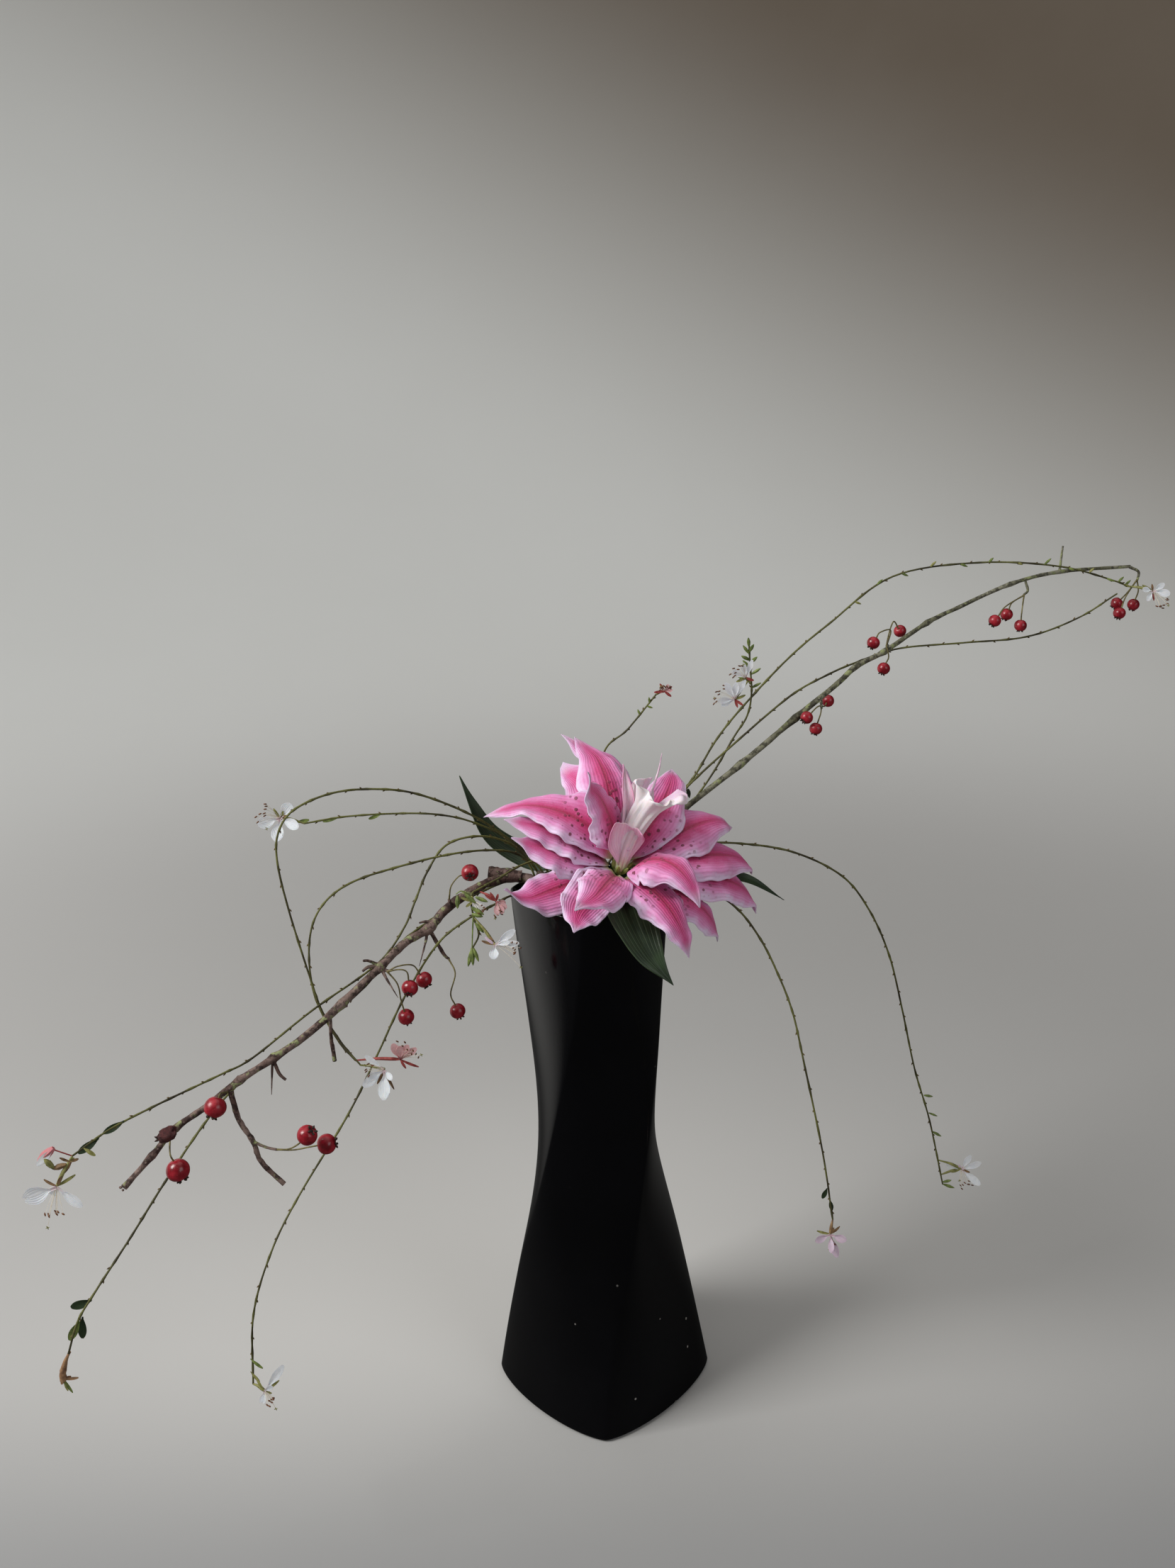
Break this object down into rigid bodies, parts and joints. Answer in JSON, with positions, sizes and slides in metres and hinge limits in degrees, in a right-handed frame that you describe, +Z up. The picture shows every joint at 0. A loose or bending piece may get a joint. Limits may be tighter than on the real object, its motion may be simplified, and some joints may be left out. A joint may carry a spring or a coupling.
{
  "type": "ikebana arrangement",
  "caption": "Ikebana arrangement: a pink double lily, berried hawthorn branches and trailing gaura stems in a tall, twisted black vase.",
  "frame": {"origin": "middle of the vase's foot, on the surface that it stands on", "axes": "+Z up along the vase, +X to the right of the display's front, towards the high branch, +Y to its back"},
  "size_m": [0.7658, 0.3828, 0.6061],
  "materials": {
    "black_glaze": "near-black glossy glaze over thrown and twisted stoneware, with soft highlights along its edges",
    "gaura_stem": "thin olive to dark brown living stem, dull, with small buds",
    "gaura_petal": "thin translucent petal, white with a cool tint, some of them pink, with fine stamens and red-brown sepals",
    "purple_bark": "rough purple-brown bark with knobs, thorns and patches of lichen",
    "grey_bark": "grey-olive bark with small knobs and spurs",
    "berry_skin": "waxy dark red fruit skin with a dried brown crown",
    "lily_stem": "smooth green flower stem",
    "lily_tepal": "soft satin petal, pink with a deep midrib, paler wavy edges and raised dark spots",
    "lily_petaloid": "cream-white curled inner petal with a green heart",
    "lily_leaf": "dark green waxy leaf with parallel veins"
  },
  "bodies": {
    "root": {"vase": "black_glaze", "gaura_stem_1": "gaura_stem", "gaura_stem_2": "gaura_stem", "gaura_stem_3": "gaura_stem", "gaura_stem_4": "gaura_stem", "gaura_stem_5": "gaura_stem", "gaura_stem_6": "gaura_stem", "gaura_stem_7": "gaura_stem", "gaura_stem_8": "gaura_stem", "gaura_stem_9": "gaura_stem", "gaura_stem_10": "gaura_stem", "gaura_stem_11": "gaura_stem", "gaura_stem_12": "gaura_stem", "gaura_stem_13": "gaura_stem", "gaura_flower_1": "gaura_petal", "gaura_flower_2": "gaura_petal", "gaura_flower_3": "gaura_petal", "gaura_flower_4": "gaura_petal", "gaura_flower_5": "gaura_petal", "gaura_flower_6": "gaura_petal", "gaura_flower_7": "gaura_petal", "gaura_flower_8": "gaura_petal", "gaura_flower_9": "gaura_petal", "gaura_flower_10": "gaura_petal", "left_hawthorn_branch": "purple_bark", "right_hawthorn_branch": "grey_bark", "left_berry_1": "berry_skin", "left_berries_2": "berry_skin", "left_berry_3": "berry_skin", "left_berry_4": "berry_skin", "left_berry_5": "berry_skin", "left_berries_6": "berry_skin", "right_berries_1": "berry_skin", "right_berries_2": "berry_skin", "right_berries_3": "berry_skin", "right_berries_4": "berry_skin", "lily_stem": "lily_stem", "tepal_front_left": "lily_tepal", "tepal_right_front_outer": "lily_tepal", "tepal_right_lower": "lily_tepal", "tepal_left_lower": "lily_tepal", "tepal_back_outer": "lily_tepal", "tepal_front_outer": "lily_tepal", "tepal_right_front_mid": "lily_tepal", "tepal_right_mid": "lily_tepal", "tepal_left_mid": "lily_tepal", "tepal_left_back": "lily_tepal", "tepal_back_left": "lily_tepal", "tepal_left_upper": "lily_tepal", "tepal_right_upper": "lily_tepal", "tepal_front_inner": "lily_tepal", "tepal_right_front_inner": "lily_tepal", "tepal_back_right": "lily_tepal", "tepal_centre_left": "lily_tepal", "petaloid_cup": "lily_petaloid", "petaloid_curl": "lily_petaloid", "lily_leaf_front": "lily_leaf", "lily_leaf_left": "lily_leaf", "lily_leaf_back": "lily_leaf", "lily_leaf_right": "lily_leaf"}
  },
  "joints": []
}
